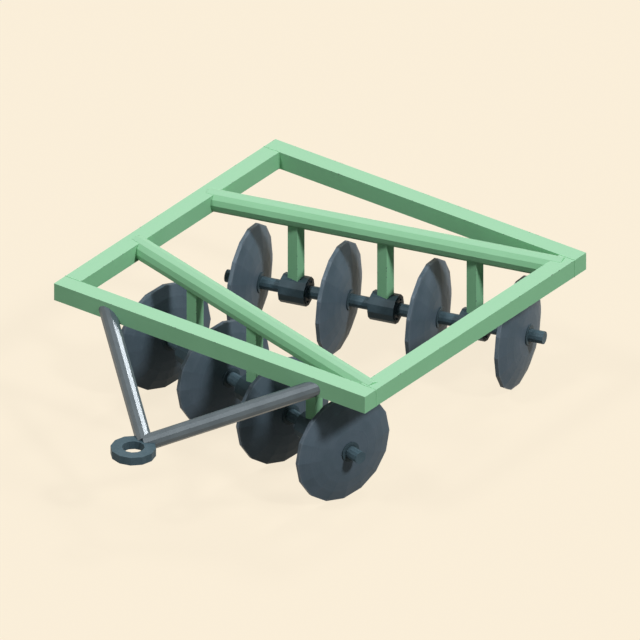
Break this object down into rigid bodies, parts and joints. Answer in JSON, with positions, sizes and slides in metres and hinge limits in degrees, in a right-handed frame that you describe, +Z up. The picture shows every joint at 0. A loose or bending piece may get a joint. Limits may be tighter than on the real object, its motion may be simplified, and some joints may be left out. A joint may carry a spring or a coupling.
{
  "type": "disc harrow",
  "caption": "Towed offset disc harrow: square-beam frame over two angled gangs of dished discs on turning axles, pulled by an A drawbar with a hitch ring.",
  "frame": {"origin": "on the ground, at the middle of the harrow's overall box", "axes": "+Z up, -Y the way it is pulled (towards the hitch ring), +X to the right of someone who looks back from the hitch ring's far side along +Y"},
  "size_m": [2.035, 2.8162, 0.804],
  "materials": {
    "green_paint": "light green enamel, satin",
    "disc_steel": "dark blue-grey hardened blade steel",
    "dark_iron": "dark oiled iron",
    "drawbar_steel": "blue-grey steel tube, satin"
  },
  "bodies": {
    "frame": {"front_beam": "green_paint", "rear_beam": "green_paint", "left_side_beam": "green_paint", "right_side_beam": "green_paint", "front_gang_beam": "green_paint", "rear_gang_beam": "green_paint", "front_post_1": "green_paint", "front_post_2": "green_paint", "front_post_3": "green_paint", "rear_post_1": "green_paint", "rear_post_2": "green_paint", "rear_post_3": "green_paint", "front_bearing_housing_1": "dark_iron", "front_bearing_housing_2": "dark_iron", "front_bearing_housing_3": "dark_iron", "rear_bearing_housing_1": "dark_iron", "rear_bearing_housing_2": "dark_iron", "rear_bearing_housing_3": "dark_iron", "left_drawbar_tube": "drawbar_steel", "right_drawbar_tube": "drawbar_steel", "hitch_ring": "dark_iron"},
    "front_gang": {"front_axle": "dark_iron", "front_disc_1": "disc_steel", "front_disc_2": "disc_steel", "front_disc_3": "disc_steel", "front_disc_4": "disc_steel"},
    "rear_gang": {"rear_axle": "dark_iron", "rear_disc_1": "disc_steel", "rear_disc_2": "disc_steel", "rear_disc_3": "disc_steel", "rear_disc_4": "disc_steel"}
  },
  "joints": [
    {"name": "front_gang_spin", "type": "hinge", "parent": "frame", "child": "front_gang", "pos_m": [0, -0.22637, 0.305], "axis": [0.9659, -0.2588, 0], "continuous": true},
    {"name": "rear_gang_spin", "type": "hinge", "parent": "frame", "child": "rear_gang", "pos_m": [0, 0.91796, 0.305], "axis": [0.9659, 0.2588, 0], "continuous": true}
  ]
}
